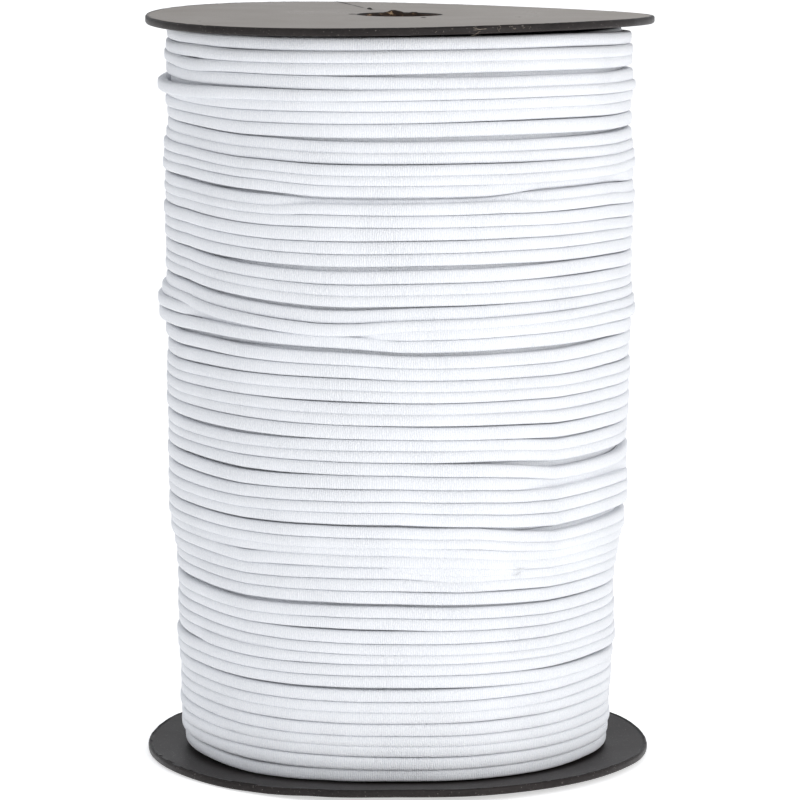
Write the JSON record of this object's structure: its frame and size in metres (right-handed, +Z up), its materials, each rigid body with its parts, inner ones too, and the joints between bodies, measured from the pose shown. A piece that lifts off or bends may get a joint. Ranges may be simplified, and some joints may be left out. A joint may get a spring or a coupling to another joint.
{
  "type": "roll of elastic cord on a reel",
  "caption": "Upright reel of white round elastic cord wound between two dark round boards on a tube.",
  "frame": {"origin": "centre of the lower flange's flat underside, on the surface that the reel stands on", "axes": "+Z up along the reel's axis; -Y faces the viewer"},
  "size_m": [0.135, 0.135, 0.1987],
  "materials": {
    "elastic_cord": "covered round elastic, fine cross ribs, soft sheen",
    "grey_board": "dark grey-brown hard board with a slight calendered sheen",
    "kraft_tube": "brown kraft board tube, torn at its upper end"
  },
  "bodies": {
    "root": {"wound_elastic": "elastic_cord", "flange_top": "grey_board", "flange_base": "grey_board", "core_tube": "kraft_tube"}
  },
  "joints": []
}
